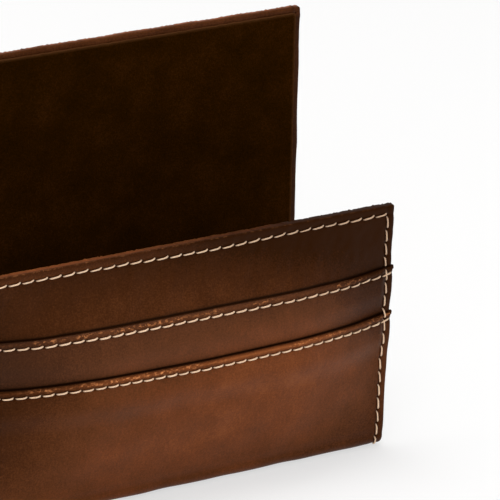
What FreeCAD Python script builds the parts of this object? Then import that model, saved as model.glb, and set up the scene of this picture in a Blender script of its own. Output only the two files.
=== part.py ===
import FreeCAD, Part
import math
import os

from FreeCAD import Placement, Rotation, Vector

# Letter holder: a low padded front panel with two card pockets, a tall back panel and a floor
# between them, all stiff board covered in turned-edge leather and lined with suede.
# Millimetres and degrees. X runs along the width, the front faces -Y, Z is up.

# Overall size.
width = 141.0
front_height = 80.9
back_height = 128.0
letter_slot = 52.0
front_lean = 2.0

# Materials, each with its own thickness.
panel_board = 1.5
floor_board = 5.0
leather = 0.8
skived_leather = 0.35
suede = 0.45
pocket_cloth = 0.2
felt = 0.8
layer_gap = 0.05

# Edges, corners and folds.
panel_corner_radius = 1.4
lining_corner_radius = 0.8
arris_share = 0.99
bottom_fold_radius = 3.0
rebate_lip = 2.3
turn_in = 10.0
lining_margin = 1.7
felt_inset = 6.0
underside_lap = 12.0

# Crown of the padded front, and how far in from each edge it takes to rise.
crown = 7.2
crown_side_reach = 40.0
crown_top_reach = 34.0
crown_bottom_reach = 37.0
padding_inset = 5.0
section_spacing = 8.0
sample_spacing = 4.0
slope_step = 0.5

# Card pockets, measured down from the top edge of the front panel.
upper_mouth_drop = 20.2
lower_mouth_drop = 35.4
hem_width = 7.0
pocket_underlap = 10.0
settle_length = 9.5

# Stitching.
thread = 0.6
stitch_pitch = 4.5
upper_hem_pitch = 4.2
lower_hem_pitch = 4.0
stitch_gap = 0.6
top_stitch_margin = 3.1
side_stitch_margin = 2.6
hem_stitch_margin = 2.2
stitch_slant = 0.5
stitch_rise = 0.4
row_sample_spacing = 1.3

# Brads of flat wire that fasten the boards to each other.
brad_width = 1.2
brad_thickness = 1.0
brad_head_width = 2.0
brad_head_depth = 0.5
brad_length = 13.0
brad_count = 4
brad_end_margin = 14.0

# How far off a plane an edge may lie and still be found on it.
tolerance = 1e-6

# Levels and places worked out from the sizes above.
underside = felt
board_bottom = underside + leather
floor_top = board_bottom + floor_board
lining_build = skived_leather + suede
floor_surface = floor_top + lining_build
half_width = width / 2
board_half_width = half_width - leather
lean = math.radians(front_lean)

# Heights up a panel are measured from the underside of the boards, along the panel.
front_top = front_height - leather
back_top = back_height - leather
upper_mouth = front_top - upper_mouth_drop
lower_mouth = front_top - lower_mouth_drop
upper_strip_end = lower_mouth - pocket_underlap
cover_end = upper_mouth - pocket_underlap

# The inside of the front panel crosses the floor at this place, and the slot starts there.
slot_front = ((panel_board + lining_build) / math.cos(lean)
              - (floor_surface - board_bottom) * math.tan(lean))
slot_back = slot_front + letter_slot
back_face = slot_back + lining_build + panel_board

# Each panel is drawn lying flat, X along it, Y up it and Z out of its outer face, and then stood up.
front_frame = Placement(Vector(0, 0, board_bottom), Rotation(Vector(1, 0, 0), 90 + front_lean))
back_frame = Placement(Vector(0, back_face, board_bottom),
                       Rotation(Vector(0, 0, 1), 180) * Rotation(Vector(1, 0, 0), 90))

crown_half_width = half_width - side_stitch_margin
crown_top = front_top - top_stitch_margin
crown_bottom = bottom_fold_radius

# Cutting blocks reach this far, past every side of the holder.
clear = 2 * width


def block(x_range, y_range, z_range):
    """Box between two values on each axis."""
    corner = Vector(x_range[0], y_range[0], z_range[0])
    return Part.makeBox(x_range[1] - x_range[0], y_range[1] - y_range[0],
                        z_range[1] - z_range[0], corner)


def placed(shape, frame):
    """Shape moved from its panel's flat drawing to where the panel stands."""
    moved = shape.copy()
    moved.Placement = frame.multiply(moved.Placement)
    return moved


def fused(shapes):
    """One solid from shapes that touch or overlap."""
    joined = shapes[0].fuse(shapes[1:]) if len(shapes) > 1 else shapes[0]
    return joined.removeSplitter()


def edges_along(shape, axis, *planes):
    """Straight edges parallel to an axis that lie on each (axis index, value) plane."""
    chosen = []
    for edge in shape.Edges:
        ends = [vertex.Point for vertex in edge.Vertexes]
        if len(ends) < 2 or abs(abs((ends[1] - ends[0]).normalize()[axis]) - 1) > tolerance:
            continue
        if all(abs(end[index] - value) < tolerance for end in ends for index, value in planes):
            chosen.append(edge)
    return chosen


def edges_on_plane(shape, axis, value, skipped_axis, skipped_value):
    """Edges that lie in one plane, leaving out those that also lie in a second one."""
    chosen = []
    for edge in shape.Edges:
        box = edge.BoundBox
        low, high = (box.XMin, box.YMin, box.ZMin), (box.XMax, box.YMax, box.ZMax)
        if max(abs(low[axis] - value), abs(high[axis] - value)) > tolerance:
            continue
        if max(abs(low[skipped_axis] - skipped_value), abs(high[skipped_axis] - skipped_value)) > tolerance:
            chosen.append(edge)
    return chosen


def flat_panel(half, foot, top, z_range, corner_radius):
    """Flat sheet of a panel with its two top corners rounded."""
    sheet = block((-half, half), (foot, top), z_range)
    corners = edges_along(sheet, 2, (1, top))
    return sheet.makeFillet(corner_radius, corners)


def panel_stiffener(top):
    """Board of a panel, from the floor of its rebate up to the leather over its top edge."""
    return flat_panel(board_half_width, rebate_lip, top - leather, (-panel_board, 0),
                      panel_corner_radius - leather)


def panel_wrap(top):
    """Outside of the leather wrapped round a panel's board, still solid inside."""
    wrap = flat_panel(half_width, bottom_fold_radius, top, (-panel_board - skived_leather, leather),
                      panel_corner_radius)
    outer_edges = edges_on_plane(wrap, 2, leather, 1, bottom_fold_radius)
    return wrap.makeFillet(leather * arris_share, outer_edges)


def floor_profile(grow, top):
    """Side outline of the floor, grown outwards, with both bottom corners still sharp."""
    bottom = board_bottom - grow
    front_low = -grow / math.cos(lean) - (bottom - board_bottom) * math.tan(lean)
    front_high = -grow / math.cos(lean) - (top - board_bottom) * math.tan(lean)
    points = [Vector(0, front_low, bottom), Vector(0, back_face + grow, bottom),
              Vector(0, back_face + grow, top), Vector(0, front_high, top)]
    return Part.makePolygon(points + points[:1])


def floor_block(grow, top, half, corner_radius):
    """Floor between the outer faces of both panels, with its two bottom edges rounded."""
    solid = Part.Face(floor_profile(grow, top)).extrude(Vector(2 * half, 0, 0))
    solid.translate(Vector(-half, 0, 0))
    bottom_edges = edges_along(solid, 0, (2, board_bottom - grow))
    return solid.makeFillet(corner_radius, bottom_edges)


def floor_wrap():
    """Outside of the leather wrapped round the floor board, still solid inside."""
    top = floor_top + skived_leather
    wrap = floor_block(leather, top, half_width, bottom_fold_radius)
    low_edges = [edge for edge in wrap.Edges
                 if abs(abs(edge.BoundBox.XMin) - half_width) < tolerance
                 and abs(abs(edge.BoundBox.XMax) - half_width) < tolerance
                 and edge.BoundBox.ZMin < top - tolerance]
    return wrap.makeFillet(leather * arris_share, low_edges)


def inner_window(top):
    """Space inside the turned-in border on the inner face of a panel."""
    half = board_half_width - turn_in
    return block((-half, half), (floor_board, top - leather - turn_in),
                 (-panel_board - 2 * skived_leather, -panel_board))


def crown_rise(distance, reach):
    """Share of the crown reached at a distance in from an edge, flat again past its reach."""
    share = min(max(distance / reach, 0.0), 1.0)
    return (1 - (1 - share) ** 2) ** 1.5


def crown_height(x, s):
    """How far the padded front stands out of its board at a place across and up the panel."""
    return (crown * crown_rise(crown_half_width - abs(x), crown_side_reach)
            * crown_rise(crown_top - s, crown_top_reach)
            * crown_rise(s - crown_bottom, crown_bottom_reach))


def eased(share):
    """Smooth step from 0 to 1."""
    share = min(max(share, 0.0), 1.0)
    return (1 - math.cos(math.pi * share)) / 2


def strip_surface(mouth, bed_below_hem):
    """Outer surface of a pocket strip above the crown, as a function of the place up the panel.

    The strip lies on the pocket cloth, lifts over the edge of the piece above it and ends in a
    hem of two layers that lies on that piece, whose surface stands at bed_below_hem.
    """
    hem_end = mouth - hem_width
    single = leather + pocket_cloth + layer_gap
    double = bed_below_hem + layer_gap + 2 * leather

    def height(s):
        lift_off = eased((s - crown_bottom) / bottom_fold_radius)
        settled = eased((hem_end - s) / settle_length)
        return leather + (single - leather) * lift_off + (double - single) * (1 - settled)

    return height


upper_surface = strip_surface(upper_mouth, leather)
lower_surface = strip_surface(lower_mouth, upper_surface(lower_mouth))


def stations():
    """Places along the width where the sections of the crowned pieces stand."""
    count = round(crown_side_reach / section_spacing) + 1
    right = spread(crown_half_width, crown_half_width - crown_side_reach, count)
    return [-x for x in right] + [0.0] + right[::-1]


def spread(start, end, count):
    """Evenly spaced values from start to end."""
    return [start + (end - start) * number / (count - 1) for number in range(count)]


def samples(start, end):
    """Values from start to end at about the sample spacing."""
    return spread(start, end, max(round(abs(end - start) / sample_spacing), 2) + 1)


def curve(points):
    """Smooth edge through points."""
    spline = Part.BSplineCurve()
    spline.interpolate(points)
    return spline.toShape()


def line(start, end):
    return Part.makeLine(start, end)


def sheet_section(x, s_low, s_high, height_low, height_high):
    """Closed section of a sheet between two heights above the board."""
    outer = [Vector(x, s, height_high(x, s)) for s in samples(s_low, s_high)]
    inner = [Vector(x, s, height_low(x, s)) for s in samples(s_high, s_low)]
    return Part.Wire([curve(outer), line(outer[-1], inner[0]), curve(inner), line(inner[-1], outer[0])])


def strip_section(x, low_end, mouth, surface):
    """Section of a pocket strip, from its lower end up to its folded hem and back down inside."""
    hem_end = mouth - hem_width
    fold_start = mouth - leather

    def at(s, depth):
        return Vector(x, s, crown_height(x, s) + surface(s) - depth)

    face = curve([at(s, 0) for s in samples(low_end, fold_start)])
    fold_middle = Vector(x, mouth, at(fold_start, leather).z)
    fold = Part.Arc(at(fold_start, 0), fold_middle, at(fold_start, 2 * leather)).toShape()
    flap = curve([at(s, 2 * leather) for s in samples(fold_start, hem_end)])
    step = line(at(hem_end, 2 * leather), at(hem_end, leather))
    back = curve([at(s, leather) for s in samples(hem_end, low_end)])
    return Part.Wire([face, fold, flap, step, back, line(at(low_end, leather), at(low_end, 0))])


def upper_strip_section(x):
    return strip_section(x, upper_strip_end, upper_mouth, upper_surface)


def lower_strip_section(x):
    return strip_section(x, crown_bottom, lower_mouth, lower_surface)


def crowned(section, places):
    """Solid ruled through a section at each place along the width."""
    return Part.makeLoft([section(x) for x in places], True, True)


def with_square_ends(section):
    """Crowned strip carried on straight, past the crown, to both ends of the panel."""
    end_length = half_width - crown_half_width
    left_end = Part.Face(section(-crown_half_width)).extrude(Vector(-end_length, 0, 0))
    right_end = Part.Face(section(crown_half_width)).extrude(Vector(end_length, 0, 0))
    return [crowned(section, stations()), left_end, right_end]


def build_boards():
    """Three stiff boards: the floor with a rebate along each side, and the panels in the rebates."""
    front = placed(panel_stiffener(front_top), front_frame)
    back = placed(panel_stiffener(back_top), back_frame)
    floor = floor_block(0.0, floor_top, board_half_width, bottom_fold_radius - leather)
    return {"front_board": front, "back_board": back, "base_board": floor.cut([front, back])}


def brad_row(frame):
    """Brads along the foot of a panel, through its board into the edge of the floor board."""
    level = (rebate_lip + floor_board) / 2
    reach = board_half_width - brad_end_margin
    brads = []
    for x in spread(-reach, reach, brad_count):
        rows = (level - brad_thickness / 2, level + brad_thickness / 2)
        shank = block((x - brad_width / 2, x + brad_width / 2), rows, (-brad_length, 0))
        head = block((x - brad_head_width / 2, x + brad_head_width / 2), rows, (-brad_head_depth, 0))
        brads.append(placed(fused([shank, head]), frame))
    return brads


def build_skin(boards):
    """All the turned leather round the boards, with the crowned part of the front left open."""
    wraps = [placed(panel_wrap(front_top), front_frame), placed(panel_wrap(back_top), back_frame),
             floor_wrap()]
    floor_window = block((turn_in - board_half_width, board_half_width - turn_in),
                         (0, back_face), (floor_top, floor_surface))
    crown_window = block((-crown_half_width, crown_half_width), (crown_bottom, crown_top),
                         (0, 2 * leather))
    holes = list(boards.values())
    holes += [placed(inner_window(front_top), front_frame), placed(inner_window(back_top), back_frame)]
    holes += [floor_window, placed(crown_window, front_frame)]
    return fused(wraps).cut(holes)


def build_leather(boards):
    """Front cover, the two pocket strips and the back cover."""
    skin = build_skin(boards)
    lap_end = slot_front + underside_lap
    ahead = block((-clear, clear), (-clear, lap_end), (-clear, floor_top + 2 * skived_leather))
    behind_front = -panel_board - skived_leather - layer_gap
    front_side = placed(block((-clear, clear), (0, clear), (behind_front, clear)), front_frame)
    front_skin = skin.common(fused([ahead, front_side]))
    back_cover = skin.cut([ahead, front_side])

    def band(s_low, s_high):
        return placed(block((-clear, clear), (s_low, s_high), (-clear, clear)), front_frame)

    cover_rim = front_skin.common(band(cover_end, clear))
    upper_rim = front_skin.common(band(upper_strip_end, cover_end))
    lower_rim = front_skin.cut(band(upper_strip_end, clear))

    def cover_section(x):
        return sheet_section(x, cover_end, crown_top, crown_height,
                             lambda at, s: crown_height(at, s) + leather)

    cover_face = placed(crowned(cover_section, stations()), front_frame)
    upper_strip = [placed(piece, front_frame) for piece in with_square_ends(upper_strip_section)]
    lower_strip = [placed(piece, front_frame) for piece in with_square_ends(lower_strip_section)]
    return {"front_cover": fused([cover_rim, cover_face]),
            "upper_card_pocket": fused([upper_rim] + upper_strip),
            "lower_card_pocket": fused([lower_rim] + lower_strip),
            "back_cover": back_cover}, skin


def build_padding():
    """Foam that crowns the front panel, and the cloth on it behind the pockets."""
    def foam_section(x):
        return sheet_section(x, crown_bottom, crown_top, lambda at, s: -panel_board,
                             lambda at, s: crown_height(at, s) - layer_gap)

    def cloth_section(x):
        return sheet_section(x, crown_bottom + bottom_fold_radius, cover_end - layer_gap, crown_height,
                             lambda at, s: crown_height(at, s) + pocket_cloth)

    half = crown_half_width - padding_inset
    footprint = block((-half, half), (crown_bottom + padding_inset, crown_top - padding_inset),
                      (0, 2 * crown))
    foam = crowned(foam_section, stations()).common(footprint)
    cloth = crowned(cloth_section, stations())
    return {"front_padding": placed(foam, front_frame), "pocket_lining": placed(cloth, front_frame)}


def build_linings(skin):
    """Suede on the floor and on the inside of both panels, over the turned-in borders."""
    half = half_width - lining_margin
    above_floor = block((-clear, clear), (-clear, clear), (floor_surface, clear))
    depth = (-panel_board - lining_build, -panel_board)
    front = placed(flat_panel(half, 0, front_top - lining_margin, depth,
                              lining_corner_radius), front_frame)
    back = placed(flat_panel(half, 0, back_top - lining_margin, depth,
                             lining_corner_radius), back_frame)
    between = block((-half, half), (0, back_face - panel_board), (floor_top, floor_surface))
    front_side = placed(block((-clear, clear), (-leather, front_top), (-panel_board, clear)),
                        front_frame)
    return {"front_lining": front.common(above_floor).cut(skin),
            "back_lining": back.common(above_floor).cut(skin),
            "base_lining": between.cut([skin, front_side])}


def build_pad():
    """Felt under the floor, set in from the edges, which the holder stands on."""
    half = half_width - felt_inset
    return block((-half, half), (felt_inset - leather, back_face + leather - felt_inset), (0, felt))


def stitch(start, end, outward):
    """One stitch lying on the leather: a low ridge, full in the middle and tapered to its ends."""
    along = (end - start).normalize()
    side = outward.cross(along).normalize()
    up = along.cross(side).normalize()
    slant = side * stitch_slant / 2
    first = start + along * stitch_gap / 2 - slant
    last = end - along * stitch_gap / 2 + slant
    half_thread = side * thread / 2
    low = [first - half_thread, last - half_thread, last + half_thread, first + half_thread]
    taper = (last - first).normalize() * thread
    crest = [first + taper + up * stitch_rise, last - taper + up * stitch_rise]
    outlines = [low[::-1], [low[0], low[1], crest[1], crest[0]], [low[2], low[3], crest[0], crest[1]],
                [low[1], low[2], crest[1]], [low[3], low[0], crest[0]]]
    faces = [Part.Face(Part.makePolygon(outline + outline[:1])) for outline in outlines]
    return Part.Solid(Part.Shell(faces))


def stitch_line(points, normals):
    """Stitches from point to point along a row."""
    pairs = zip(points[:-1], points[1:], normals[:-1], normals[1:])
    return [stitch(start, end, before + after) for start, end, before, after in pairs]


def front_row(s, pitch, half, surface):
    """Row of stitches across the front panel on a surface above the crown."""
    count = round(2 * half / pitch)
    points = []
    normals = []
    for x in spread(-half, half, count + 1):
        ahead = crown_height(x + slope_step, s) - crown_height(x - slope_step, s)
        upward = crown_height(x, s + slope_step) - crown_height(x, s - slope_step)
        points.append(front_frame.multVec(Vector(x, s, crown_height(x, s) + surface(s))))
        normals.append(front_frame.Rotation.multVec(Vector(-ahead, -upward, 2 * slope_step).normalize()))
    return stitch_line(points, normals)


def side_surface(s):
    """Outer surface of the leather along a side edge of the front panel."""
    if s > upper_mouth:
        return leather
    if s > lower_mouth:
        return upper_surface(s)
    return lower_surface(s)


def round_fold(frame, x, turn):
    """Two places just clear of a bottom fold, each with the outward direction of the run up to it.

    They are the corners between the panel's face, the slope that touches the middle of the fold,
    and the underside. turn is the angle that the fold turns through.
    """
    corner = -leather * math.tan(turn / 2)
    fold_start = corner + bottom_fold_radius * math.tan(turn / 2)
    cut = bottom_fold_radius * (math.tan(turn / 2) - math.tan(turn / 4))
    first = Vector(x, corner + cut, leather)
    underside_way = Vector(0, -math.cos(turn), -math.sin(turn))
    last = Vector(x, corner, leather) + underside_way * cut
    slope = Vector(0, -math.sin(turn / 2), math.cos(turn / 2))
    down = Vector(0, -math.sin(turn), math.cos(turn))
    return [(frame.multVec(first), frame.Rotation.multVec(Vector(0, 0, 1))),
            (frame.multVec(last), frame.Rotation.multVec(slope))], frame.Rotation.multVec(down)


def side_route(x):
    """Places down the front, under the floor and up the back, with the direction outwards there."""
    count = round((crown_top - crown_bottom) / row_sample_spacing)
    route = [(front_frame.multVec(Vector(x, s, side_surface(s))),
              front_frame.Rotation.multVec(Vector(0, 0, 1)))
             for s in spread(crown_top, crown_bottom, count)]
    front_fold, down = round_fold(front_frame, x, math.pi / 2 - lean)
    back_fold, _ = round_fold(back_frame, -x, math.pi / 2)
    route += front_fold
    route += [(back_fold[1][0], down), (back_fold[0][0], back_fold[1][1])]
    back_end = Vector(-x, back_top - top_stitch_margin, leather)
    return route + [(back_frame.multVec(back_end), back_frame.Rotation.multVec(Vector(0, 0, 1)))]


def walk(route, pitch):
    """Points and outward directions one pitch apart along a route."""
    places = [route[0]]
    travelled = 0.0
    for (before, _), (after, outward) in zip(route[:-1], route[1:]):
        length = (after - before).Length
        while travelled + length >= pitch:
            share = (pitch - travelled) / length
            before = before + (after - before) * share
            length = (after - before).Length
            places.append((before, outward))
            travelled = 0.0
        travelled += length
    return [place for place, _ in places], [outward for _, outward in places]


def build_stitching():
    """Every row of thread that shows, one group of stitches to a row."""
    half = half_width - side_stitch_margin
    rows = {}
    rows["front_top_stitching"] = front_row(crown_top, stitch_pitch, half, lambda s: leather)
    rows["upper_pocket_stitching"] = front_row(upper_mouth - hem_stitch_margin, upper_hem_pitch,
                                               half_width - thread, upper_surface)
    rows["lower_pocket_stitching"] = front_row(lower_mouth - hem_stitch_margin, lower_hem_pitch,
                                               half_width - thread, lower_surface)
    rows["left_side_stitching"] = stitch_line(*walk(side_route(-half), stitch_pitch))
    rows["right_side_stitching"] = stitch_line(*walk(side_route(half), stitch_pitch))
    across = [back_frame.multVec(Vector(x, back_top - top_stitch_margin, leather))
              for x in spread(-half, half, round(2 * half / stitch_pitch) + 1)]
    rows["back_top_stitching"] = stitch_line(across, [Vector(0, 1, 0)] * len(across))
    return {name: Part.makeCompound(stitches) for name, stitches in rows.items()}


def build_parts():
    """Every piece by name, before the holder is centred on its origin."""
    boards = build_boards()
    leathers, skin = build_leather(boards)
    front_brads = brad_row(front_frame)
    back_brads = brad_row(back_frame)
    parts = {"front_board": boards["front_board"].cut(front_brads),
             "back_board": boards["back_board"].cut(back_brads),
             "base_board": boards["base_board"].cut(front_brads + back_brads),
             "front_board_brads": Part.makeCompound(front_brads),
             "back_board_brads": Part.makeCompound(back_brads)}
    parts.update(leathers)
    parts.update(build_padding())
    parts.update(build_linings(skin))
    parts["base_pad"] = build_pad()
    parts.update(build_stitching())
    return parts


def write_parts(parts):
    """One STEP file for each piece, with the origin under the middle of the holder's box."""
    box = FreeCAD.BoundBox()
    for shape in parts.values():
        box.add(shape.optimalBoundingBox(False, False))
    offset = Vector(-box.Center.x, -box.Center.y, -box.ZMin)
    os.makedirs("parts", exist_ok=True)
    for name, shape in parts.items():
        shape.translate(offset)
        shape.exportStep(f"parts/{name}.step")
        print(name, len(shape.Solids), "solids, volume", round(shape.Volume, 1), shape.isValid())


write_parts(build_parts())
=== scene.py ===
import math

import bmesh
import bpy
import numpy as np
from mathutils import Matrix, Vector


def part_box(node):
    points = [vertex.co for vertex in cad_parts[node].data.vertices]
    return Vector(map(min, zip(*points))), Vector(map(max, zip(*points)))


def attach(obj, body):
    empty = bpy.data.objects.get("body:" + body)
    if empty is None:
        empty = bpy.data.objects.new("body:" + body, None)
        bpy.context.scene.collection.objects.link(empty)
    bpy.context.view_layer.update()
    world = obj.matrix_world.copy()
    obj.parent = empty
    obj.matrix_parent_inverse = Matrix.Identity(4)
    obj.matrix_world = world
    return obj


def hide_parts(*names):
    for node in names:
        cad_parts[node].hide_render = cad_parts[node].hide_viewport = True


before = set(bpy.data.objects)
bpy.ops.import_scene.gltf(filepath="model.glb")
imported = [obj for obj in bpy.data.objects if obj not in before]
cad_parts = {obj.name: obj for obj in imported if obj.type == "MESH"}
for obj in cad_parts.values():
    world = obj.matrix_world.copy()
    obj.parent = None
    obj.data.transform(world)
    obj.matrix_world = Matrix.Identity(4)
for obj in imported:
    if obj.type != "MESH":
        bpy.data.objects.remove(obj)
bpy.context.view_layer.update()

# Letter holder: turned leather over stiff boards, a padded front with two hemmed card pockets,
# saddle-stitched rows of twisted thread and suede linings. Sizes are millimetres, as in the part.

MM = 0.001

# Overall size.
WIDTH = 141.0
FRONT_HEIGHT = 80.9
BACK_HEIGHT = 128.0
LETTER_SLOT = 52.0
FRONT_LEAN = math.radians(2.0)

# Thickness of each material.
PANEL_BOARD = 1.5
FLOOR_BOARD = 5.0
LEATHER = 0.8
LEATHER_SHELL = 0.72
TURNED_SHELL = 0.3
SKIVED = 0.35
SUEDE = 0.45
POCKET_CLOTH = 0.2
FELT = 0.8
LAYER_GAP = 0.05

# Edges, corners and folds.
PANEL_CORNER = 1.4
LINING_CORNER = 0.8
FOLD_RADIUS = 3.0
ARRIS = 0.65
INNER_ARRIS = 0.35
TURN_IN = 2.2
TOP_BORDER = 2.0
LINING_MARGIN = 1.7
FELT_INSET = 6.0
UNDERSIDE_LAP = 12.0

# Crown of the padded front.
CROWN = 7.2
CROWN_SIDE_REACH = 40.0
CROWN_TOP_REACH = 34.0
CROWN_BOTTOM_REACH = 37.0
PADDING_INSET = 5.0

# Card pockets.
UPPER_MOUTH_DROP = 20.2
LOWER_MOUTH_DROP = 35.4
HEM_WIDTH = 7.0
HEM_PRESSED = 0.5
POCKET_UNDERLAP = 10.0
SETTLE_LENGTH = 9.5
RIM_LIFT = 0.3

# Stitching.
THREAD = 0.52
STITCH_PITCH = 4.5
UPPER_HEM_PITCH = 4.2
LOWER_HEM_PITCH = 4.0
TOP_STITCH_MARGIN = 3.1
SIDE_STITCH_MARGIN = 2.6
HEM_STITCH_MARGIN = 2.2
UPPER_ROW_RAISE = 0.15
FRONT_SIDE_END = -15.0
STITCH_GAP = 0.42
STITCH_SLANT = 0.6
STITCH_HOOK = 0.26
SIDE_SLANT = 0.84
SIDE_HOOK = -0.14
UPPER_SLANT = 0.33
LOWER_SLANT = 0.15
THREAD_LAY = 2.4
NOWHERE = -999.0

# Levels and places worked out from the sizes above.
BOARD_BOTTOM = FELT + LEATHER
SKIN_FLOOR = BOARD_BOTTOM + FLOOR_BOARD + SKIVED
FLOOR_SURFACE = SKIN_FLOOR + SUEDE
PANEL_SKIN = PANEL_BOARD + SKIVED
PANEL_LINED = PANEL_SKIN + SUEDE
HALF = WIDTH / 2
FRONT_TOP = FRONT_HEIGHT - LEATHER
BACK_TOP = BACK_HEIGHT - LEATHER
UPPER_MOUTH = FRONT_TOP - UPPER_MOUTH_DROP
LOWER_MOUTH = FRONT_TOP - LOWER_MOUTH_DROP
UPPER_STRIP_END = LOWER_MOUTH - POCKET_UNDERLAP
COVER_END = UPPER_MOUTH - POCKET_UNDERLAP
CROWN_HALF = HALF - SIDE_STITCH_MARGIN
CROWN_TOP = FRONT_TOP - TOP_STITCH_MARGIN
CROWN_BOTTOM = FOLD_RADIUS
SLOT_FRONT = PANEL_LINED / math.cos(FRONT_LEAN) - (FLOOR_SURFACE - BOARD_BOTTOM) * math.tan(FRONT_LEAN)
BACK_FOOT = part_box("back_board")[1].y / MM
FRONT_FOOT = BACK_FOOT - PANEL_LINED - LETTER_SLOT - SLOT_FRONT
LAP_END = FRONT_FOOT + SLOT_FRONT + UNDERSIDE_LAP


# Places on the holder.

class Panel:
    """Outline of one panel and its half of the floor in the YZ plane.

    q is the length along the board's outer side: up the panel above the fold, and negative under
    the floor. n is the distance outwards from the board.
    """

    def __init__(self, foot, facing, lean):
        self.foot = np.array([foot, BOARD_BOTTOM])
        self.facing = facing
        self.up = np.array([facing * math.sin(lean), math.cos(lean)])
        self.out = np.array([facing * math.cos(lean), -math.sin(lean)])
        self.turn = math.pi / 2 - lean
        self.radius = FOLD_RADIUS - LEATHER
        self.fold_top = self.radius * math.tan(self.turn / 2)
        self.fold_bottom = self.fold_top - self.radius * self.turn
        self.inner_foot = (SKIN_FLOOR - BOARD_BOTTOM - PANEL_SKIN * math.sin(lean)) / math.cos(lean)
        self.inner_corner = self.foot + self.inner_foot * self.up - PANEL_SKIN * self.out

    def outward(self, q):
        """Outward direction: the panel's, turned by arc over radius in the fold, then straight down."""
        angle = np.clip((self.fold_top - q) / self.radius, 0, self.turn)[..., None]
        return np.cos(angle) * self.out - np.sin(angle) * self.up

    def place(self, q, n):
        """(y, z) at q and n: a straight run up the panel, an arc, and a straight run under the floor."""
        q = np.asarray(q, float)
        outward = self.outward(q)
        centre = self.foot + self.fold_top * self.up - self.radius * self.out
        straight = np.maximum(q - self.fold_top, 0)[..., None] * self.up
        under = np.maximum(self.fold_bottom - q, 0)[..., None] * np.array([-self.facing, 0.0])
        return centre + straight + under + (self.radius + np.asarray(n)[..., None]) * outward

    def inner(self, q):
        """(y, z) where the skin's turned edge ends: the inner face, its foot, or the floor's top."""
        panel = self.place(np.maximum(q, self.inner_foot), np.zeros_like(q) - PANEL_SKIN)
        y = self.place(q, np.zeros_like(q))[..., 0]
        past = np.maximum(-self.facing * (y - self.inner_corner[0]), 0)
        floor = np.stack([self.inner_corner[0] - self.facing * past, np.full_like(y, SKIN_FLOOR)], -1)
        return np.where((q > self.inner_foot)[..., None], panel, floor)

    def q_under(self, y):
        """q of a place under the floor."""
        flat_start = self.place(np.array(self.fold_bottom), np.array(0.0))[0]
        return self.fold_bottom - abs(y - flat_start)


front = Panel(FRONT_FOOT, -1, FRONT_LEAN)
back = Panel(BACK_FOOT, 1, 0.0)


def joined(x, yz):
    """Points from x and (y, z)."""
    return np.concatenate([np.asarray(x, float)[..., None], yz], -1)


def eased(share):
    """Smooth step from 0 to 1."""
    return (1 - np.cos(np.pi * np.clip(share, 0, 1))) / 2


def bump(distance, reach):
    """Bell of height 1: exp(-(distance / reach)^2)."""
    return np.exp(-(distance / reach) ** 2)


def unit(vectors):
    """Vectors at length 1."""
    return vectors / np.maximum(np.linalg.norm(vectors, axis=-1, keepdims=True), 1e-12)


def waves(x, y, size, seed, count=20):
    """Smooth random field of about unit height: a sum of cosine waves about size long."""
    random = np.random.default_rng(seed)
    total = np.zeros(np.broadcast(x, y).shape)
    for angle, phase, stretch in random.uniform((0, 0, 0.6), (2 * np.pi, 2 * np.pi, 1.5), (count, 3)):
        turn = 2 * np.pi * stretch / size
        total += np.cos(turn * (x * np.cos(angle) + y * np.sin(angle)) + phase)
    return total / math.sqrt(count / 2)


def graded(start, end, centres, fine, coarse, reach):
    """Values from start to end, fine apart at each centre and coarse apart far from them all."""
    at = np.linspace(start, end, 8001)
    nearest = np.abs(at[:, None] - np.asarray(centres, float)[None]).min(1)
    steps = np.cumsum(1 / (coarse + (fine - coarse) * bump(nearest, reach)))
    steps = (steps - steps[0]) * (at[1] - at[0])
    return np.interp(np.linspace(0, steps[-1], max(round(steps[-1]), 2) + 1), steps, at)


# Surface of the padded front.

def crown_rise(distance, reach):
    """Share of the crown at a distance in from an edge: (1 - (1 - share)^2)^1.5."""
    share = np.clip(distance / reach, 0, 1)
    return (1 - (1 - share) ** 2) ** 1.5


def crown_height(x, s):
    """How far the padding lifts the leather: the crown times its rise from the sides, top and foot."""
    sides = crown_rise(CROWN_HALF - np.abs(x), CROWN_SIDE_REACH)
    top = crown_rise(CROWN_TOP - s, CROWN_TOP_REACH)
    return CROWN * sides * top * crown_rise(s - CROWN_BOTTOM, CROWN_BOTTOM_REACH)


def hem_squeeze(x):
    """Share of a hem's thickness left where the side stitching presses it flat."""
    return 1 - HEM_PRESSED * eased((np.abs(x) - (HALF - 5.0)) / 3.5)


def strip_rise(x, s, mouth, bed):
    """Outside of a pocket strip above the crown.

    One layer on the pocket cloth, then eased up to two layers on the piece underneath at its hem.
    """
    single = LEATHER + POCKET_CLOTH + LAYER_GAP
    lift = LEATHER + (single - LEATHER) * eased((s - CROWN_BOTTOM) / FOLD_RADIUS)
    double = (bed + LAYER_GAP + 2 * LEATHER - single) * hem_squeeze(x)
    return lift + double * eased((s - (mouth - HEM_WIDTH - SETTLE_LENGTH)) / SETTLE_LENGTH)


def upper_rise(x, s):
    """Outside of the upper strip above the crown."""
    return strip_rise(x, s, UPPER_MOUTH, LEATHER)


def lower_rise(x, s):
    """Outside of the lower strip above the crown."""
    return strip_rise(x, s, LOWER_MOUTH, upper_rise(0 * x, LOWER_MOUTH + 0 * s))


def freely(x):
    """Share of its wander that a hem keeps near the side stitching, which holds it in place."""
    return eased((HALF - np.abs(x)) / 6)


def top_wander(x):
    """How far the hand-sewn top row strays up the panel: a bell down in the middle."""
    return (0.25 - 0.68 * bump(x - 5, 24)) * freely(x)


def upper_wander(x):
    """How far the upper hem strays up the panel: it sags on both shoulders of the crown."""
    return -0.45 * bump(np.abs(x) - 55, 9) * freely(x)


def lower_wander(x):
    """How far the lower hem strays up the panel: it sags on the shoulders and in a slow wave."""
    return (-0.3 * bump(np.abs(x) - 57, 9) - 0.22 * np.cos(2 * np.pi * x / 68)) * freely(x)


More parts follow.
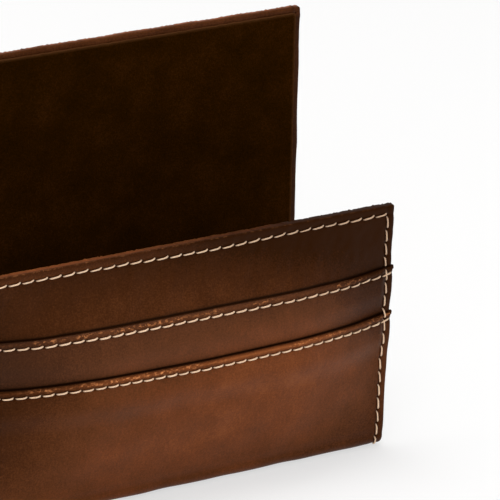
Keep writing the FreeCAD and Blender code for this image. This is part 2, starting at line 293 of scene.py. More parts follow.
def front_rise(x, s):
    """Outermost surface of the front above its board, without the relief of hems and stitches."""
    strip = np.where(s > LOWER_MOUTH, upper_rise(x, s), lower_rise(x, s))
    return np.where(s > UPPER_MOUTH, LEATHER, strip) + crown_height(x, s)


# Rows of stitch holes, each as x and q on its panel.

def across(half, pitch):
    """Places a pitch apart from -half to half."""
    return np.linspace(-half, half, round(2 * half / pitch) + 1)


def side_route():
    """Holes down the front, under the floor and up the back, a pitch apart, on the side row.

    Gives points (y, z), outward directions, and q on the front and on the back panel, far below
    zero on the panel that a hole isn't in.
    """
    front_q = np.linspace(CROWN_TOP, front.q_under(0.0), 1200)
    back_q = np.linspace(back.q_under(0.0), BACK_TOP - TOP_STITCH_MARGIN, 1200)
    x = np.full_like(front_q, CROWN_HALF)
    points = np.concatenate([front.place(front_q, front_rise(x, front_q)),
                             back.place(back_q, np.full_like(back_q, LEATHER))])
    outward = np.concatenate([front.outward(front_q), back.outward(back_q)])
    length = np.r_[0, np.cumsum(np.linalg.norm(np.diff(points, axis=0), axis=1))]
    other = np.full_like(front_q, NOWHERE)
    table = np.c_[points, outward, np.r_[front_q, other], np.r_[other, back_q]]
    at = np.linspace(0, length[-1], round(length[-1] / STITCH_PITCH) + 1)
    return np.stack([np.interp(at, length, column) for column in table.T], -1)


SIDE_HOLES = side_route()
TOP_HOLES = across(CROWN_HALF, STITCH_PITCH)
UPPER_HOLES = across(HALF - THREAD, UPPER_HEM_PITCH)
LOWER_HOLES = across(HALF - THREAD, LOWER_HEM_PITCH)
UPPER_ROW = UPPER_MOUTH - HEM_STITCH_MARGIN + UPPER_ROW_RAISE
LOWER_ROW = LOWER_MOUTH - HEM_STITCH_MARGIN


def panel_holes(column, x, row, low, high):
    """(x, q) of the holes in a panel: a row across it, and the side rows between two places."""
    q = SIDE_HOLES[:, column]
    q = q[(q > low) & (q < high)]
    sides = [np.c_[0 * q + side * CROWN_HALF, q] for side in (-1, 1)]
    return np.concatenate([np.c_[x, 0 * x + row], *sides])


# Meshes.

def grid_quads(rows, columns, closed=False):
    """Faces of a grid, counted row by row. A closed grid joins its last column to its first."""
    at = np.arange(rows * columns).reshape(rows, columns)
    right = np.roll(at, -1, 1) if closed else at[:, 1:]
    left = at if closed else at[:, :-1]
    return np.stack([left[:-1], right[:-1], right[1:], left[1:]], -1).reshape(-1, 4)


def grid_normals(points, quads):
    """Normals at grid points: the sum of the normals of the faces round each, at length 1."""
    corners = points[quads]
    face = np.cross(corners[:, 2] - corners[:, 0], corners[:, 3] - corners[:, 1])
    total = np.zeros_like(points)
    for corner in range(4):
        np.add.at(total, quads[:, corner], face)
    return unit(total)


def add_object(name, data):
    """New object in the scene."""
    made = bpy.data.objects.new(name, data)
    bpy.context.scene.collection.objects.link(made)
    return made


def add_piece(name, points, quads, material, replaced, marks=None, uv=None):
    """New piece from points in metres and quads: doubles merged, smooth, with its marks as attributes."""
    mesh = bpy.data.meshes.new(name)
    mesh.from_pydata(points, [], quads)
    for mark, values in (marks or {}).items():
        mesh.attributes.new(mark, "FLOAT", "POINT").data.foreach_set("value", values.astype(np.float32))
    if uv is not None:
        layer = mesh.uv_layers.new(name="UVMap")
        layer.data.foreach_set("uv", uv.astype(np.float32).ravel())
    work = bmesh.new()
    work.from_mesh(mesh)
    bmesh.ops.remove_doubles(work, verts=work.verts, dist=1e-7)
    bmesh.ops.dissolve_degenerate(work, edges=work.edges, dist=1e-8)
    work.to_mesh(mesh)
    work.free()
    mesh.shade_smooth()
    mesh.materials.append(material)
    piece = add_object(name, mesh)
    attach(piece, "root")
    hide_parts(*replaced)
    return piece


def closed_sheet(points, depth):
    """Closed shell from a grid of outer points: a second layer at depth inside, and a rim round both."""
    rows, columns = points.shape[:2]
    quads = grid_quads(rows, columns)
    outer = points.reshape(-1, 3)
    inner = outer - grid_normals(outer, quads) * depth.reshape(-1, 1) * MM
    count = rows * columns
    at = np.arange(count).reshape(rows, columns)
    rim = np.concatenate([at[0], at[1:, -1], at[-1, -2::-1], at[-2::-1, 0]])
    band = np.stack([rim[1:], rim[:-1], rim[:-1] + count, rim[1:] + count], -1)
    return np.concatenate([outer, inner]), np.concatenate([quads, quads[:, ::-1] + count, band])


# Leather skin.

PANEL_EDGE = LEATHER + PANEL_SKIN


def edge_table():
    """Turned edge as a path: inset and depth against the length along it from the corner's core.

    Face, quarter circle, straight edge, smaller quarter circle, and the strip turned in.
    """
    sine, cosine = (part(np.linspace(0, np.pi / 2, 16)) for part in (np.sin, np.cos))
    inset = np.r_[PANEL_CORNER, ARRIS * (1 - sine), INNER_ARRIS * (1 - cosine), TURN_IN]
    depth = np.r_[0, ARRIS * (1 - cosine), PANEL_EDGE - INNER_ARRIS * (1 - sine), PANEL_EDGE]
    return np.r_[0, np.cumsum(np.hypot(np.diff(inset), np.diff(depth)))], inset, depth


EDGE_AT, EDGE_INSET, EDGE_DEPTH = edge_table()
EDGE_LENGTH = EDGE_AT[-1]
CORE = HALF - PANEL_CORNER
FOLD_ROWS = [-1.0, 0.5, 2.0]
ARRIS_AT = np.interp(0.3 * ARRIS, EDGE_DEPTH, EDGE_AT)
INNER_ARRIS_AT = np.interp(PANEL_EDGE - 0.3 * INNER_ARRIS, EDGE_DEPTH, EDGE_AT)


def skin_columns(holes):
    """Places across a skin, from one turned-in edge to the other, close together at holes and edges."""
    side = np.array([CROWN_HALF, CORE + ARRIS_AT, CORE + INNER_ARRIS_AT])
    centres = np.r_[holes, side, -side]
    return graded(-CORE - EDGE_LENGTH, CORE + EDGE_LENGTH, centres, 0.27, 0.8, 0.75)


def skin_rows(low, top, centres, fine, coarse, reach):
    """Places up a skin, from its lower end to its turned-in top edge, close together at the centres."""
    core = top - PANEL_CORNER
    return graded(low, core + EDGE_LENGTH, np.r_[centres, core + ARRIS_AT, core + INNER_ARRIS_AT],
                  fine, coarse, reach)


def skin(panel, p, q, top, rise, tuck=0.0, rim_top=None, shift=None):
    """Leather over one panel: a grid (q down its rows, p across) wrapped over the edges.

    Inside the core p is x. Past it the length along the edge table gives inset and depth; at a top
    corner it is measured outwards from the corner's core, as the larger of the two overshoots.
    shift moves places up the panel, and leaves the marks and the relief that are drawn on them.
    tuck lowers the surface where a hem folds under. The (y, z) place runs from the outer surface
    to the inner boundary as depth grows to the panel's edge. Above rim_top the edge isn't turned
    in but comes down on the leather underneath.
    """
    q, p = np.meshgrid(q, p, indexing="ij")
    core_x = np.clip(p, -CORE, CORE)
    core_q = np.minimum(q, top - PANEL_CORNER) if top else q
    over = np.stack([p - core_x, q - core_q], -1)
    length = np.abs(over).max(-1)
    way = over / np.maximum((over ** 4).sum(-1, keepdims=True) ** 0.25, 1e-9)
    inset = np.interp(length, EDGE_AT, EDGE_INSET)
    depth = np.interp(length, EDGE_AT, EDGE_DEPTH)
    out = (PANEL_CORNER - inset) * (length > 0)
    x = core_x + way[..., 0] * out
    s = core_q + way[..., 1] * out
    at = s + shift(x, s) if shift else s
    height = rise(x, s, at) - tuck + 0 * x
    outer = panel.place(at, height)
    inner = panel.inner(at)
    if rim_top is not None:
        lapped = panel.place(at, np.full_like(s, RIM_LIFT))
        inner = inner + (lapped - inner) * eased((s - rim_top) / 0.5 + 0.5)[..., None]
    reach = np.maximum(np.linalg.norm(inner - outer, axis=-1), ARRIS + 0.01)
    past = np.clip((depth - ARRIS) / (PANEL_EDGE - ARRIS), 0, 1)
    share = (np.minimum(depth, ARRIS) + past * (reach - ARRIS)) / reach
    points = joined(x, outer + (inner - outer) * share[..., None]) * MM
    return points, x, s, depth


def pressed(points, relief):
    """Grid points moved along their normals by relief, in millimetres."""
    rows, columns = relief.shape
    flat = points.reshape(-1, 3)
    moved = flat + grid_normals(flat, grid_quads(rows, columns)) * relief.reshape(-1, 1) * MM
    return moved.reshape(rows, columns, 3)


def thread_pull(x, s, holes, row):
    """Relief where thread pulls the leather in, and the painted shade there.

    A shallow trough runs under the row across and the two side rows, with a dip at each hole. Painted
    shade darkens each hole and a narrow groove along the rows.
    """
    to_row, to_side, nearest = s - row, np.abs(x) - CROWN_HALF, np.full(x.shape, np.inf)
    for hole in holes:
        nearest = np.minimum(nearest, np.hypot(x - hole[0], s - hole[1]))
    trough = bump(to_row, 0.75) * (np.abs(x) < HALF) + bump(to_side, 0.75)
    groove_shade = np.maximum(bump(to_row, 0.5), 1.4 * bump(to_side, 0.5))
    return -0.13 * trough - 0.42 * bump(nearest, 0.36), np.maximum(bump(nearest, 0.42), 0.3 * groove_shade)


def add_leather(name, replaced, material, panel, points, relief, thickness, tone, painted_shade, wear, bloom=0.0):
    """Leather piece: a closed shell with its relief. The back's grid is taken from right to left.

    Its colour follows its marks: tone, which on the front carries painted light, painted shade, wear on
    high places and wax bloom.
    """
    order = slice(None, None, -panel.facing)
    shell, quads = closed_sheet(pressed(points, relief)[:, order], thickness[:, order])
    marks = {"tone": tone, "wear": wear, "painted_shade": painted_shade, "bloom": bloom + 0 * tone}
    double = {mark: np.tile(values[:, order].ravel(), 2) for mark, values in marks.items()}
    add_piece(name, shell, quads, material, replaced, double)


def skin_depth(depth):
    """Thickness of the leather: full on the face, skived thin where it is turned over the edge."""
    return LEATHER_SHELL + (TURNED_SHELL - LEATHER_SHELL) * eased(depth / PANEL_EDGE)


def edge_wear(depth):
    """Wear along an outer arris: a bell round the middle of its curve."""
    return bump(depth - 0.25, 0.12)


def top_face(s, depth, top):
    """Share of the flat face on top of a panel: 1 between its two arrises."""
    return eased((depth - 0.25) / 0.4) * (s > top - TOP_BORDER)


def hem_relief(x, s, mouth, row, seed):
    """Relief of a puffed hem: a swell between mouth and stitches, a pressed crease, and fine puckers."""
    swell = 0.16 * bump(s - (mouth - 1.1), 0.7) - 0.05 * bump(s - (row + 0.8), 0.25)
    places = np.clip(waves(x, s, 26.0, seed), 0, 1.4)
    puckers = waves(x, s * 0.35, 1.5, seed + 1) * bump(s - (row + 1.2), 0.9) * 0.035 * (0.4 + places)
    return (swell + puckers) * (s > row - 3) * (s < mouth + 1) * hem_squeeze(x) ** 2


def front_tone_and_painted_light(x, s):
    """Tone of the front's wax finish and its painted light, a sum of smooth terms of the place across and
    up.

    It falls towards the top edge as painted shade and rises where the padding stretches the leather,
    partly as the finish and partly as painted highlight. Right of the middle, a painted highlight band
    lies low on the front, the right side and parts of the top right are darker as painted shade, and slow
    patches vary the tone at random. Under the floor it comes to the back's tone.
    """
    u, v = np.maximum(x / HALF, -0.8), np.maximum(s, 0) / 80
    # Partly the finish lightening where the padding stretches it, partly painted highlight.
    stretched = np.sqrt(crown_height(x, s) / CROWN)
    # Painted shade: darker towards the top edge.
    height = -0.70 * v + 0.58 * v ** 2 - 0.48 * v ** 4
    # Painted highlight: a band right of the middle, low on the front, darker again at the far sides.
    rub_wear_and_painted_highlight = u * (0.144 - 1.66 * (v - 0.434) ** 2) - u ** 2 * (0.09 + 0.07 * v)
    patches = 0.016 * waves(x, s, 30.0, 11) + 0.012 * waves(x, s, 12.0, 12)
    # Painted shade on the right side and the top right.
    corner = -0.15 * eased((u - 0.6) / 0.35) * eased((v - 0.42) / 0.2)
    corner -= 0.05 * eased(u / 0.6) * eased((v - 0.6) / 0.2) + 0.02 * eased((0.5 - v) / 0.1)
    tone = 0.70 + 0.27 * stretched + height + rub_wear_and_painted_highlight + corner + patches
    return tone + (0.56 - tone) * eased(-s / 8)


def back_tone(x, s):
    """Tone of the back's wax finish: a little darker towards its borders."""
    border = np.minimum(HALF - np.abs(x), BACK_TOP - s)
    return 0.52 + 0.1 * eased(border / 25) + 0.02 * waves(x, s, 55.0, 13) + 0.015 * waves(x, s, 18.0, 14)


def build_cover(material):
    """Leather of the front panel above the card pockets, turned over its top and side edges."""
    holes = panel_holes(4, TOP_HOLES, CROWN_TOP + top_wander(TOP_HOLES), COVER_END, CROWN_TOP - 1)
    rows = skin_rows(COVER_END, FRONT_TOP, np.r_[holes[:, 1], UPPER_MOUTH - 0.6, UPPER_MOUTH + 0.1],
                     0.25, 0.8, 0.7)
    points, x, s, depth = skin(front, skin_columns(TOP_HOLES), rows, FRONT_TOP,
                               lambda x, s, at: LEATHER + crown_height(x, at))
    relief, painted_shade = thread_pull(x, s, holes, CROWN_TOP + top_wander(x))
    relief += 0.06 * waves(x, s, 14.0, 3) * eased((CROWN_TOP - s) / 6) + 0.025 * waves(x, s, 5.0, 4)
    ragged = 0.5 + 0.5 * waves(x, s, 2.0, 5)
    above = eased(s - CROWN_TOP + 0.5) * (depth < 0.4)
    tone = front_tone_and_painted_light(x, s) + above * (0.13 - 0.225 * eased((x + 25) / 80))
    tone += 0.06 * above * bump(s - CROWN_TOP - 1.2, 0.8) * (eased((40 - x) / 20) + eased((5 - x) / 40))
    tone += top_face(s, depth, FRONT_TOP) * (0.44 - 0.36 * eased((x - 22) / 18) + 0.06 * ragged)
    relief += 0.13 * ragged * waves(x, s, 0.9, 6) * bump(depth - 2.3, 0.4) * (s > FRONT_TOP - TOP_BORDER)
    # Painted shadow in a dark line above the upper pocket's hem, a softer painted shade above it, and
    # painted shade on the front arris.
    under = s - UPPER_MOUTH - upper_wander(x)
    painted_shade = np.max([painted_shade, bump(under - 0.12, 0.38) + 0.15 * bump(under, 1.2),
                  0.3 * bump(depth - 0.35, 0.25)], axis=0)
    add_leather("front_cover_leather", ["front_cover"], material, front, points, relief,
                skin_depth(depth), tone, painted_shade, (0.18 - 0.14 * x / HALF) * edge_wear(depth))


def build_strip(which, mouth, low, low_hole, places, row, rise, wander, rim_top, fine_rows, lighter, bloom,
                seed, material):
    """One card pocket: a strip with a rounded double hem at its mouth, which wanders a little.

    lighter is added to the tone along the ridge of the hem, where specks are rubbed out. The painted shade
    mark also holds the painted shadow of the lower strip's mouth and the painted shade of the fold's
    underside.
    """
    holes = panel_holes(4, places, row, low_hole, mouth - 1)
    columns = skin_columns(places)
    crest = mouth - LEATHER
    face = graded(low, crest, np.r_[holes[:, 1], fine_rows, mouth - 1.5], 0.25, 0.85, 0.8)
    angle = np.linspace(0, np.pi, 12)[1:]
    turned = np.r_[0 * face, (1 - np.cos(angle)) / 2][:, None]
    tuck = turned * 2 * LEATHER * hem_squeeze(np.clip(columns, -HALF, HALF))

    def surface(x, s, at):
        """The strip's rise at s, or at the crest past it, over the crown there."""
        level = np.minimum(s, crest)
        return rise(x, level) + crown_height(x, level + at - s)

    points, x, s, depth = skin(front, columns, np.r_[face, crest + LEATHER * np.sin(angle)], None,
                               surface, tuck, rim_top,
                               lambda x, s: wander(x) * eased((s - mouth + 12) / 9))
    relief, painted_shade = thread_pull(x, s, holes, row)
    on_face = 1 - turned
    relief = (relief + hem_relief(x, s, mouth, row, seed) + 0.05 * waves(x, s, 16.0, seed + 2)) * on_face
    band = eased((s - row + 0.4) / 0.6)
    ridge = bump(s - mouth + 0.6, 0.45) * on_face
    tone = front_tone_and_painted_light(x, np.minimum(s, mouth)) + band * (ridge * lighter - 0.04)
    rub_wear_and_painted_highlight = bump(x + 25, 18) + 0.6 * np.clip(waves(x, 0 * s, 14.0, seed + 3), 0, 1)
    rub_wear_and_painted_highlight = (0.06 + 0.94 * np.clip(rub_wear_and_painted_highlight, 0, 1)) * (0.3 + 3.3 * lighter)
    wear = rub_wear_and_painted_highlight * (0.07 + 0.93 * ridge) * band + 0.1 * edge_wear(depth)
    # Painted shadow under the lower strip's mouth, on the upper strip, and painted shade on the fold's
    # underside.
    below = s - (LOWER_MOUTH + lower_wander(x) if mouth > LOWER_MOUTH else NOWHERE)
    shade = bump(below - 0.12, 0.4) + 0.2 * bump(below, 1.5)
    painted_shade = np.maximum(np.maximum(painted_shade, shade), eased((turned - 0.45) / 0.2))
    thick = skin_depth(depth)
    doubled = eased(s - (mouth - HEM_WIDTH)) * (turned == 0) * (depth < 0.05)
    thick = thick + (2 * LEATHER * hem_squeeze(x) - 0.08 - thick) * doubled
    add_leather(which + "_pocket_leather", [which + "_card_pocket"], material, front, points, relief,
                thick, tone, painted_shade, wear, bloom * (1 - eased((x - 30) / 35)))


def build_pockets(material):
    """Upper pocket, from under the lower one to its hem, and lower one, from its hem to the lap."""
    build_strip("upper", UPPER_MOUTH, UPPER_STRIP_END, UPPER_STRIP_END, UPPER_HOLES, UPPER_ROW,
                upper_rise, upper_wander, COVER_END, [LOWER_MOUTH - 0.4, LOWER_MOUTH + 0.3], 0.13, 0.045,
                31, material)
    build_strip("lower", LOWER_MOUTH, front.q_under(LAP_END), FRONT_SIDE_END, LOWER_HOLES, LOWER_ROW,
                lower_rise, lower_wander, UPPER_STRIP_END, FOLD_ROWS, 0.21, 0.0, 51, material)


def build_back_cover(material):
    """Leather of the back panel and the rear of the underside, turned over every edge."""
    low, row = back.q_under(LAP_END), BACK_TOP - TOP_STITCH_MARGIN
    holes = panel_holes(5, TOP_HOLES, row, low, row - 1)
    rows = skin_rows(low, BACK_TOP, np.r_[holes[:, 1], FOLD_ROWS], 0.38, 1.5, 0.65)
    points, x, s, depth = skin(back, skin_columns(TOP_HOLES), rows, BACK_TOP,
                               lambda x, s, at: LEATHER + 0 * x)
    relief, painted_shade = thread_pull(x, s, holes, row)
    relief += 0.05 * waves(x, s, 20.0, 71) + 0.02 * waves(x, s, 6.0, 72)
    above = top_face(s, depth, BACK_TOP)
    worn = above * eased(1.5 - depth)
    rim = above * bump(depth - 0.45, 0.35)
    lines = 0.07 * bump(depth - 2.35, 0.25) - 0.04 * bump(depth - 1.6, 0.35)
    tone = back_tone(x, s) + above * lines + (0.55 * worn + 0.4 * rim) * (1 + 0.2 * waves(x, s, 2.5, 73))
    relief += 0.06 * waves(x, 0 * s, 1.4, 74) * (s > BACK_TOP - TOP_BORDER) * bump(depth - 0.4, 0.5)
    inside = depth > PANEL_EDGE - 0.01
    tone -= inside * (0.04 + 0.2 * (s < BACK_TOP - 3.2))
    # Painted contact shadow along the lining's edge on the turned-in leather.
    inset = np.minimum(HALF - np.abs(x), BACK_TOP - s)
    painted_shade = np.maximum(painted_shade, 0.5 * inside * bump(inset - LINING_MARGIN + 0.1, 0.2))
    add_leather("back_cover_leather", ["back_cover"], material, back, points, relief, skin_depth(depth),
                tone, painted_shade, 0.5 * edge_wear(depth) * (1 - worn) + 0.7 * rim)


# Thread.

def between(values, share):
    """A share of the way from each value to the next, for every stitch and place along it."""
    if values.ndim > 1:
        share = share[..., None]
    return values[:-1, None] + np.diff(values, axis=0)[:, None] * share


def add_stitches(name, points, outward, side, base, material, seed, slant=STITCH_SLANT, hook=STITCH_HOOK):
    """Thread from hole to hole, one closed tube to a stitch.

    The centre line is the base line between the holes, drawn aside in a slight S with its ends
    hooked back to the holes, and lifted out of the leather except at its ends. The section is an
    ellipse that narrows to a point in each hole.
    The UVs hold the length along the thread in millimetres and the share of a turn round it.
    """
    random = np.random.default_rng(seed)
    count = len(points) - 1
    steps, around = 11, 8
    middle = -np.cos(np.linspace(0, np.pi, steps)) * 0.55 + np.linspace(-1, 1, steps) * 0.45
    pitch = np.linalg.norm(np.diff(points, axis=0), axis=1)[:, None]
    place = 0.5 + middle * (0.5 - STITCH_GAP / 2 / pitch)
    slant = slant * (1 + 0.18 * random.standard_normal((count, 1)))
    drift = slant * (0.22 * middle + 0.28 * middle ** 3) + 0.05 * random.standard_normal((count, 1))
    drift = drift + hook * (eased((middle - 0.3) / 0.7) + 0.4 * eased((-middle - 0.5) / 0.5) - 0.1)
    lift = 0.17 - 0.55 * np.abs(middle) ** 7 + 0.03 * random.standard_normal((count, 1))
    centre = base(place) + side * drift[..., None] + outward * lift[..., None]
    tangent = unit(np.gradient(centre, axis=1))
    sideways = unit(np.cross(outward, tangent))
    upward = np.cross(tangent, sideways)
    angle = np.linspace(0, 2 * np.pi, around + 1)[:-1]
    taper = np.where(np.abs(middle) > 0.999, 0.02, (1 + 0.08 * middle) * (1 - 0.3 * np.abs(middle) ** 8))
    fat = 1 + 0.06 * random.standard_normal((count, 1))
    radius = (THREAD / 2 * fat * taper)[..., None, None]
    points = centre[:, :, None] + radius * (sideways[:, :, None] * np.cos(angle)[:, None]
                                            + 0.9 * upward[:, :, None] * np.sin(angle)[:, None])
    one = grid_quads(steps, around, closed=True)
    quads = (one[None] + (np.arange(count) * steps * around)[:, None, None]).reshape(-1, 4)
    depth = np.where(middle > 0, np.abs(middle) ** 9, np.abs(middle) ** 5)
    sunk = np.broadcast_to(depth[None, :, None], points.shape[:3])
    row, column = np.meshgrid(np.arange(steps - 1), np.arange(around), indexing="ij")
    rows = np.stack([row, row, row + 1, row + 1], -1).reshape(-1)
    turns = np.stack([column, column + 1, column + 1, column], -1).reshape(-1) / around
    # Painted shade on the thread, darker at the top right.
    painted_thread_shade = thread_painted_shade(points[..., 0], points[..., 2])
    length = (place * pitch + random.uniform(0, 5, (count, 1)))[:, rows]
    uv = np.stack([length, np.broadcast_to(turns, length.shape)], -1)
    add_piece(name + "_thread", points.reshape(-1, 3) * MM, quads, material, [name],
              {"sunk": sunk.ravel(), "painted_thread_shade": painted_thread_shade.ravel()}, uv)


def thread_painted_shade(x, z):
    """Share of painted shade on the thread, following the front's painted light: most at the top right,
    least low down.
    """
    painted_lit_share = eased((56 - z) / 8) * eased((x / HALF + 0.65) / 0.35)
    return 0.1 * (1 - painted_lit_share) + 0.38 * np.clip(z / 80, 0, 1) ** 2 * eased((x / HALF + 0.3) / 1.1)


def front_points(x, s, rise):
    """Points on the front and their outward directions, by small steps across and up."""
    def at(x, s):
        """Point at x and s."""
        return joined(x, front.place(s, rise(x, s)))

    step = 0.1
    return at(x, s), unit(np.cross(at(x + step, s) - at(x - step, s), at(x, s + step) - at(x, s - step)))


def add_front_row(name, x, s, wander, rise, material, seed, slant=STITCH_SLANT):
    """Row of stitches across the front on a surface given by its rise above the crown."""
    def rise_at(x, at):
        """The rise where the row would be without its wander, over the crown."""
        return rise(x, at - wander(x)) + crown_height(x, at)

    def base(place):
        """Along the surface from hole to hole."""
        at = between(x, place)
        return front_points(at, s + wander(at), rise_at)[0]

    points, normals = front_points(x, s + wander(x), rise_at)
    outward = unit(normals[:-1] + normals[1:])[:, None]
    add_stitches(name, points, outward, np.array([0.0, *front.up]), base, material, seed, slant)


def taut(height, place):
    """Heights of a line pulled taut over a profile: the highest chord over each place along it."""
    first, last = place[:, :, None, None], place[:, None, :, None]
    at = place[:, None, None, :]
    inside = (first <= at) & (at <= last) & (first < last)
    share = (at - first) / np.where(first < last, last - first, 1)
    chord = height[:, :, None, None] * (1 - share) + height[:, None, :, None] * share
    return np.maximum(height, np.where(inside, chord, NOWHERE).max((1, 2)))


def add_side_row(name, sign, material, seed):
    """Row of stitches down one side of the front, under the floor and up the back."""
    x = sign * CROWN_HALF
    points = joined(np.full(len(SIDE_HOLES), x), SIDE_HOLES[:, :2])

    def base(place):
        """Along the panel that holds both ends, taut over the hems, or straight between panels."""
        found = between(points, place)
        for panel, column in ((front, 4), (back, 5)):
            ends = SIDE_HOLES[:, column]
            q = between(ends, place)
            rise = front_rise(np.full_like(q, x), q) if panel is front else np.full_like(q, LEATHER)
            on_panel = (np.minimum(ends[:-1], ends[1:]) > 0.9 * NOWHERE)[:, None, None]
            followed = joined(np.full_like(q, x), panel.place(q, taut(rise, place)))
            found = np.where(on_panel, followed, found)
        return found

    place = np.tile(np.linspace(0, 1, 11), (len(points) - 1, 1))
    outward = unit(np.cross([-1.0, 0, 0], np.gradient(base(place), axis=1)).mean(1, keepdims=True))
    add_stitches(name, points, outward, np.array([1.0, 0, 0]), base, material, seed,
                 SIDE_SLANT, SIDE_HOOK)


def add_back_row(material):
    """Row of stitches across the top of the back."""
    x = TOP_HOLES[::-1]
    points = joined(x, back.place(0 * x + BACK_TOP - TOP_STITCH_MARGIN, 0 * x + LEATHER))
    add_stitches("back_top_stitching", points, np.array([0, 1.0, 0]), np.array([0, 0, 1.0]),
                 lambda place: between(points, place), material, 96)


# Linings, pad and what is hidden.

def add_slab(name, low, high, corners, place, thickness, rounding, material, replaced,
             spacing, fray=0.0, seed=0, relief=None):
    """Thin slab with rounded corners and soft edges, closed on both sides.

    The grid over its plan has its border rows on the outline; near the outline its face falls off
    as a quarter circle, and a second flat layer closes it underneath. fray moves the outline in
    and out a little, as a cut edge does, and relief is a factor of the height.
    """
    edges = np.r_[0.0, rounding * (1 - np.cos(np.linspace(0.2, np.pi / 2, 5)))]
    lines = []
    for first, last in zip(low, high):
        steps = max(round((last - first) / spacing), 2)
        inside = np.linspace(first + rounding, last - rounding, steps + 1)[1:-1]
        lines.append(np.r_[first + edges, inside, (last - edges)[::-1]])
    v, u = np.meshgrid(lines[1], lines[0], indexing="ij")
    border = np.min([u - low[0], high[0] - u, v - low[1], high[1] - v], axis=0)
    height = thickness * np.sqrt(np.clip(1 - (1 - np.clip(border / rounding, 0, 1)) ** 2, 0, 1))
    for x_side, y_side, radius in corners:
        core = (high[0] - radius if x_side > 0 else low[0] + radius,
                high[1] - radius if y_side > 0 else low[1] + radius)
        over = np.stack([(u - core[0]) * x_side, (v - core[1]) * y_side], -1)
        in_corner = (over > 0).all(-1)
        reach = np.abs(over).max(-1)
        way = unit(over)
        u = np.where(in_corner, core[0] + x_side * way[..., 0] * reach, u)
        v = np.where(in_corner, core[1] + y_side * way[..., 1] * reach, v)
    away = 1 - eased(border / 2.0)
    u = u + fray * away * waves(u, v, 3.0, seed) + 0.6 * fray * away * waves(u, v, 0.9, seed + 1)
    v = v + fray * away * waves(u, v, 3.2, seed + 2) + 0.6 * fray * away * waves(u, v, 1.0, seed + 3)
    if relief:
        height = height * relief(u, v)
    rows, columns = u.shape
    quads = grid_quads(rows, columns)
    top = place(u, v, height).reshape(-1, 3)
    bottom = place(u, v, 0 * height).reshape(-1, 3)
    flush = (height <= 1e-9).ravel()
    bottom[flush] = top[flush]
    points = np.concatenate([top, bottom])
    marks = {"edge": np.tile((1 - eased(border / 0.7)).ravel(), 2)}
    return add_piece(name, points, np.concatenate([quads, quads[:, ::-1] + rows * columns]), material,
                     replaced, marks)


def build_linings(material):
    """Suede glued to the inside of both panels and to the floor, each with a cut edge."""
    half = HALF - LINING_MARGIN
    corners = [(1, 1, LINING_CORNER), (-1, 1, LINING_CORNER)]

    def nap(u, v):
        """Factor of the height: short and long waves of 5 %."""
        return 1 + 0.05 * waves(u, v, 2.2, 81) + 0.05 * waves(u, v, 11.0, 82)

    for name, panel, top, seed in (("front_lining", front, FRONT_TOP, 84),
                                   ("back_lining", back, BACK_TOP, 85)):
        foot = (FLOOR_SURFACE - BOARD_BOTTOM + PANEL_LINED * panel.out[1]) / panel.up[1]

        def place(u, v, height, panel=panel):
            return joined(-panel.facing * u, panel.place(v, -PANEL_SKIN - height + 0 * u)) * MM

        add_slab(name + "_suede", (-half, foot + LAYER_GAP), (half, top - LINING_MARGIN), corners, place,
                 SUEDE, 0.3, material, [name], 0.8, 0.05, seed, nap)

    def floor_place(u, v, height):
        return np.stack([u, v, SKIN_FLOOR + height], -1) * MM

    slot_start = FRONT_FOOT + SLOT_FRONT
    add_slab("base_lining_suede", (-half, slot_start), (half, slot_start + LETTER_SLOT), [],
             floor_place, SUEDE, 0.3, material, ["base_lining"], 0.8, 0.04, 86, nap)


def build_pad(material):
    """Felt under the floor."""
    half = HALF - FELT_INSET
    low = (-half, FRONT_FOOT + FELT_INSET - LEATHER)
    high = (half, BACK_FOOT + LEATHER - FELT_INSET)

    def place(u, v, height):
        return np.stack([-u, v, FELT - height], -1) * MM

    add_slab("base_pad_felt", low, high, [(a, b, 2.0) for a in (-1, 1) for b in (-1, 1)], place, FELT,
             0.5, material, ["base_pad"], 1.2, 0.08, 91)


def build_padding(foam, cloth):
    """Foam that crowns the front, and the woven cloth that lies on it behind the pockets."""
    half = CROWN_HALF - PADDING_INSET
    low, high = CROWN_BOTTOM + PADDING_INSET, CROWN_TOP - PADDING_INSET

    def foam_place(u, v, height):
        return joined(u, front.place(v, height * (crown_height(u, v) - LAYER_GAP))) * MM

    padding = add_slab("front_foam_padding", (-half, low), (half, high), [], foam_place, 1.0, 0.6,
                       foam, ["front_padding"], 1.6)

    low, high = CROWN_BOTTOM + FOLD_RADIUS, COVER_END - LAYER_GAP
    u, v = np.meshgrid(np.linspace(-CROWN_HALF, CROWN_HALF, 110), np.linspace(low, high, 40))
    points = joined(u, front.place(v, crown_height(u, v) + 0.85 * POCKET_CLOTH)) * MM
    shell, quads = closed_sheet(points, np.full(u.shape, 0.8 * POCKET_CLOTH))
    lining = add_piece("pocket_lining_cloth", shell, quads, cloth, ["pocket_lining"])


# Materials.

def linear(colour):
    """Linear RGBA from an sRGB hex value."""
    channels = [int(colour[k:k + 2], 16) / 255 for k in (0, 2, 4)]
    return tuple(c / 12.92 if c <= 0.04045 else ((c + 0.055) / 1.055) ** 2.4 for c in channels) + (1.0,)


